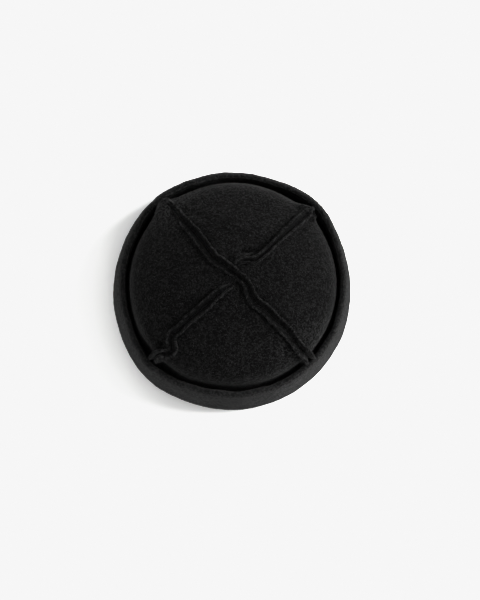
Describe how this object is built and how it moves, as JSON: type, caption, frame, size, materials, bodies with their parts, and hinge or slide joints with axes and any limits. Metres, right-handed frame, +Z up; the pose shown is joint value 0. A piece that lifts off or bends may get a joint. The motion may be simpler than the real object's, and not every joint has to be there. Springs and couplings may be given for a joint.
{
  "type": "felt beanie with turned-up cuff",
  "caption": "Brimless boiled-wool cap with a low panelled crown, seam allowances turned outwards in a cross, and a doubled felt cuff turned up around it.",
  "frame": {"origin": "bottom centre of the cap's box, on the surface that the cuff's fold rests on", "axes": "+Z up through the crown, +X to the wearer's side that is right in the front view, -Y to the viewer's side; the crown seams run along the diagonals"},
  "size_m": [0.196, 0.1984, 0.0676],
  "materials": {
    "boiled_wool": "black boiled wool, matt, with a short raised nap, mottled and fuzzy at its cut edges",
    "cuff_wool": "the same black boiled wool, doubled, with a brushed nap that looks greyer on its upright face"
  },
  "bodies": {
    "root": {"crown_panel_right": "boiled_wool", "crown_panel_back": "boiled_wool", "crown_panel_left": "boiled_wool", "crown_panel_front": "boiled_wool", "cuff": "cuff_wool"}
  },
  "joints": []
}
